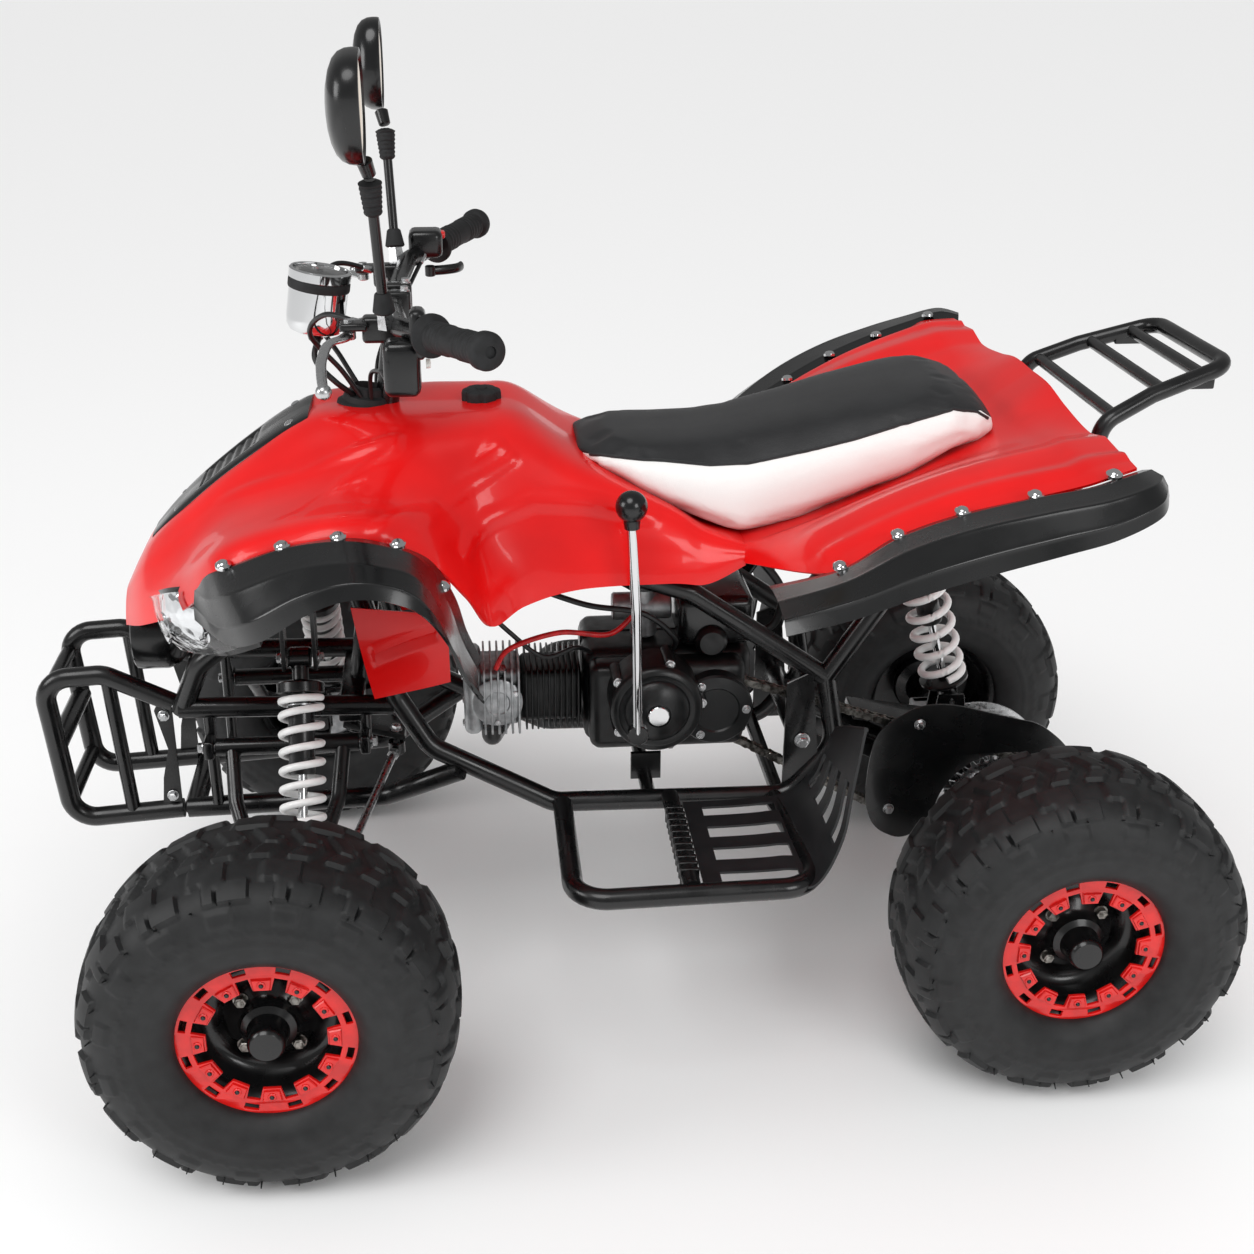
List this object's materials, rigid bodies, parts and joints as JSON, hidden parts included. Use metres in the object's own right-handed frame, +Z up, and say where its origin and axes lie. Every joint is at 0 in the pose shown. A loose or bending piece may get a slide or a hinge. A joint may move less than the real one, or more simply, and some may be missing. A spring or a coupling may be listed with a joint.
{
  "type": "mini quad bike",
  "caption": "Small ride-on quad bike with balloon tyres, sprung front arms and rear swing arm, chain drive, padded seat, bumper, foot loops and rear carrier.",
  "frame": {"origin": "middle of the footprint, on the ground under the four tyres", "axes": "+X the way it drives, +Y to the rider's left, +Z up"},
  "size_m": [1.4042, 0.9844, 1.157],
  "materials": {
    "red_plastic": "gloss",
    "black_paint": "gloss",
    "black_plastic": "satin",
    "tyre_rubber": "matte",
    "grip_rubber": "matte",
    "white_paint": "gloss",
    "seat_vinyl": "satin",
    "chrome": "polished",
    "zinc_steel": "satin",
    "cast_aluminium": "satin",
    "engine_black": "satin",
    "lamp_lens": "gloss"
  },
  "bodies": {
    "chassis": {"frame": "black_paint", "body_cover": "red_plastic", "rear_fender": "red_plastic", "front_flare_left": "black_plastic", "front_flare_right": "black_plastic", "rear_flare_left": "black_plastic", "rear_flare_right": "black_plastic", "nose_panel": "black_plastic", "headlight_left": "lamp_lens", "headlight_right": "lamp_lens", "round_lamp": "black_plastic", "side_cowl_left": "red_plastic", "side_cowl_right": "red_plastic", "front_bumper": "black_paint", "rear_rack": "black_paint", "foot_bar_left": "black_paint", "foot_bar_right": "black_paint", "engine_case": "cast_aluminium", "cylinder": "engine_black", "exhaust": "engine_black"},
    "steering": {"steering_stem": "black_paint", "handlebar": "black_paint", "grip_left": "grip_rubber", "grip_right": "grip_rubber", "speedometer": "chrome"},
    "throttle": {"thumb_throttle": "black_plastic"},
    "swing_arm": {"swing_arm": "black_paint", "drive_chain": "zinc_steel"},
    "rear_axle": {"rear_axle": "zinc_steel", "rear_sprocket": "zinc_steel", "rear_rim_left": "black_paint", "rear_rim_right": "black_paint", "rear_tyre_left": "tyre_rubber", "rear_tyre_right": "tyre_rubber"},
    "rear_shock_body": {"rear_shock_body": "black_paint", "rear_spring": "white_paint"},
    "rear_shock_rod": {"rear_shock_rod": "zinc_steel"},
    "gear_lever": {"gear_lever": "zinc_steel"},
    "seat": {"seat": "seat_vinyl"},
    "fuel_cap": {"fuel_cap": "black_plastic"},
    "a_arm_left": {"a_arm_left": "black_paint"},
    "knuckle_left": {"knuckle_left": "black_paint"},
    "front_wheel_left": {"front_rim_left": "black_paint", "front_tyre_left": "tyre_rubber"},
    "tie_rod_left": {"tie_rod_left": "zinc_steel"},
    "front_shock_body_left": {"front_shock_body_left": "black_paint", "front_spring_left": "white_paint"},
    "front_shock_rod_left": {"front_shock_rod_left": "zinc_steel"},
    "mirror_left": {"mirror_left": "black_plastic"},
    "brake_lever_left": {"brake_lever_left": "cast_aluminium"},
    "a_arm_right": {"a_arm_right": "black_paint"},
    "knuckle_right": {"knuckle_right": "black_paint"},
    "front_wheel_right": {"front_rim_right": "black_paint", "front_tyre_right": "tyre_rubber"},
    "tie_rod_right": {"tie_rod_right": "zinc_steel"},
    "front_shock_body_right": {"front_shock_body_right": "black_paint", "front_spring_right": "white_paint"},
    "front_shock_rod_right": {"front_shock_rod_right": "zinc_steel"},
    "mirror_right": {"mirror_right": "black_plastic"},
    "brake_lever_right": {"brake_lever_right": "cast_aluminium"}
  },
  "joints": [
    {"name": "steering", "type": "hinge", "parent": "chassis", "child": "steering", "pos_m": [0.335, 0, 0.33126], "axis": [-0.1436, 0, 0.9896], "range_deg": [-30, 30]},
    {"name": "a_arm_left", "type": "hinge", "parent": "chassis", "child": "a_arm_left", "pos_m": [0.41, 0.098, 0.35326], "axis": [1, 0, 0], "range_deg": [-3, 8], "stiffness_Nm_per_rad": 900, "springref_deg": -1.26},
    {"name": "kingpin_left", "type": "hinge", "parent": "a_arm_left", "child": "knuckle_left", "pos_m": [0.41, 0.3, 0.20126], "axis": [0, 0, 1], "range_deg": [-30, 30]},
    {"name": "front_wheel_left", "type": "hinge", "parent": "knuckle_left", "child": "front_wheel_left", "pos_m": [0.41, 0.4, 0.20126], "axis": [0, 1, 0], "continuous": true},
    {"name": "tie_rod_left", "type": "hinge", "parent": "knuckle_left", "child": "tie_rod_left", "pos_m": [0.36, 0.3, 0.24976], "axis": [0, 0, 1], "range_deg": [-30, 30]},
    {"name": "front_shock_left", "type": "hinge", "parent": "chassis", "child": "front_shock_body_left", "pos_m": [0.385, 0.118, 0.47626], "axis": [1, 0, 0], "range_deg": [-2, 5]},
    {"name": "front_shock_travel_left", "type": "slide", "parent": "front_shock_body_left", "child": "front_shock_rod_left", "axis": [0, 0.5202, -0.854], "range_m": [-0.0125, 0.005], "deforming": ["front_spring_left"]},
    {"name": "mirror_left", "type": "hinge", "parent": "steering", "child": "mirror_left", "pos_m": [0.27, 0.208, 1.03126], "axis": [0, 0, 1], "range_deg": [-20, 20]},
    {"name": "brake_lever_left", "type": "hinge", "parent": "steering", "child": "brake_lever_left", "pos_m": [0.303, 0.152, 0.86306], "axis": [0, 0, 1], "range_deg": [0, 18], "stiffness_Nm_per_rad": 1.5, "springref_deg": -14.32},
    {"name": "a_arm_right", "type": "hinge", "parent": "chassis", "child": "a_arm_right", "pos_m": [0.41, -0.098, 0.35326], "axis": [-1, 0, 0], "range_deg": [-3, 8], "stiffness_Nm_per_rad": 900, "springref_deg": -1.26},
    {"name": "kingpin_right", "type": "hinge", "parent": "a_arm_right", "child": "knuckle_right", "pos_m": [0.41, -0.3, 0.20126], "axis": [0, 0, 1], "range_deg": [-30, 30]},
    {"name": "front_wheel_right", "type": "hinge", "parent": "knuckle_right", "child": "front_wheel_right", "pos_m": [0.41, -0.4, 0.20126], "axis": [0, 1, 0], "continuous": true},
    {"name": "tie_rod_right", "type": "hinge", "parent": "knuckle_right", "child": "tie_rod_right", "pos_m": [0.36, -0.3, 0.24976], "axis": [0, 0, 1], "range_deg": [-30, 30]},
    {"name": "front_shock_right", "type": "hinge", "parent": "chassis", "child": "front_shock_body_right", "pos_m": [0.385, -0.118, 0.47626], "axis": [-1, 0, 0], "range_deg": [-2, 5]},
    {"name": "front_shock_travel_right", "type": "slide", "parent": "front_shock_body_right", "child": "front_shock_rod_right", "axis": [0, -0.5202, -0.854], "range_m": [-0.0125, 0.005], "deforming": ["front_spring_right"]},
    {"name": "mirror_right", "type": "hinge", "parent": "steering", "child": "mirror_right", "pos_m": [0.27, -0.208, 1.03126], "axis": [0, 0, 1], "range_deg": [-20, 20]},
    {"name": "brake_lever_right", "type": "hinge", "parent": "steering", "child": "brake_lever_right", "pos_m": [0.303, -0.152, 0.86306], "axis": [0, 0, -1], "range_deg": [0, 18], "stiffness_Nm_per_rad": 1.5, "springref_deg": -14.32},
    {"name": "throttle", "type": "hinge", "parent": "steering", "child": "throttle", "pos_m": [0.2228, -0.2175, 0.85676], "axis": [0, 0, 1], "range_deg": [0, 25], "stiffness_Nm_per_rad": 0.6, "springref_deg": -14.32},
    {"name": "swing_arm", "type": "hinge", "parent": "chassis", "child": "swing_arm", "pos_m": [-0.215, 0, 0.33826], "axis": [0, 1, 0], "range_deg": [-3, 5], "stiffness_Nm_per_rad": 1800, "springref_deg": -0.92},
    {"name": "rear_axle", "type": "hinge", "parent": "swing_arm", "child": "rear_axle", "pos_m": [-0.49, 0, 0.20126], "axis": [0, 1, 0], "continuous": true},
    {"name": "rear_shock", "type": "hinge", "parent": "chassis", "child": "rear_shock_body", "pos_m": [-0.355, 0, 0.59626], "axis": [0, 1, 0], "range_deg": [-1, 1.5]},
    {"name": "rear_shock_travel", "type": "slide", "parent": "rear_shock_body", "child": "rear_shock_rod", "axis": [-0.2772, 0, -0.9608], "range_m": [-0.019, 0.0115], "deforming": ["rear_spring"]},
    {"name": "gear_lever", "type": "hinge", "parent": "chassis", "child": "gear_lever", "pos_m": [-0.006, 0.158, 0.38126], "axis": [0, 1, 0], "range_deg": [-12, 12]},
    {"name": "seat", "type": "hinge", "parent": "chassis", "child": "seat", "pos_m": [0.059, 0, 0.70863], "axis": [0, 1, 0], "range_deg": [0, 40]},
    {"name": "fuel_cap", "type": "slide", "parent": "chassis", "child": "fuel_cap", "axis": [0, 0, 1], "range_m": [0, 0.03]}
  ],
  "couplings": [
    {"joint": "kingpin_left", "follows": "steering", "ratio": 1},
    {"joint": "tie_rod_left", "follows": "steering", "ratio": -1},
    {"joint": "front_shock_left", "follows": "a_arm_left", "ratio": 0.5926},
    {"joint": "front_shock_travel_left", "follows": "a_arm_left", "m_per_rad": -0.08345},
    {"joint": "kingpin_right", "follows": "steering", "ratio": 1},
    {"joint": "tie_rod_right", "follows": "steering", "ratio": -1},
    {"joint": "front_shock_right", "follows": "a_arm_right", "ratio": 0.5926},
    {"joint": "front_shock_travel_right", "follows": "a_arm_right", "m_per_rad": -0.08345},
    {"joint": "rear_shock", "follows": "swing_arm", "ratio": 0.2199},
    {"joint": "rear_shock_travel", "follows": "swing_arm", "m_per_rad": -0.20683}
  ]
}
